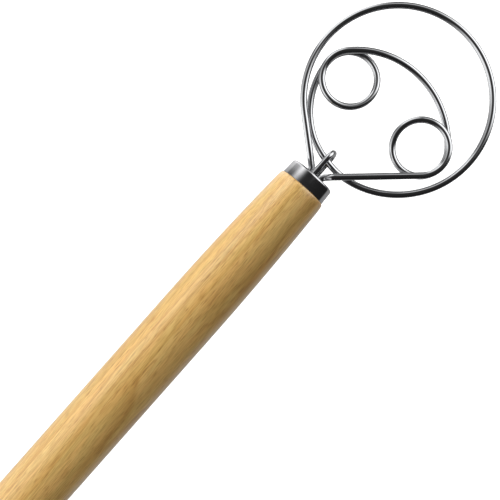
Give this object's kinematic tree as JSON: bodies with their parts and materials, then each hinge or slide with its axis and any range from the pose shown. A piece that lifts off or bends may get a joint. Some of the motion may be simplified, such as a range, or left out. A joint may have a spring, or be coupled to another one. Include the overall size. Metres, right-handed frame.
{
  "type": "dough whisk",
  "caption": "Hand whisk for dough: wooden handle, steel ferrule and one bent wire that forms a large ring with small loops inside it.",
  "frame": {"origin": "on the handle's axis, in the middle of its cylindrical grip", "axes": "+X along the handle towards the wire ring, +Z square to the plane of the ring, towards the side that the picture shows"},
  "size_m": [0.3351, 0.085, 0.0271],
  "materials": {
    "beech_wood": "clear satin lacquer",
    "polished_ferrule": "polished",
    "cured_resin": "gloss",
    "steel_wire": "polished"
  },
  "bodies": {
    "root": {"handle": "beech_wood", "ferrule": "polished_ferrule", "bonding_resin": "cured_resin", "keeper_hook": "steel_wire", "whisk_wire": "steel_wire"}
  },
  "joints": []
}
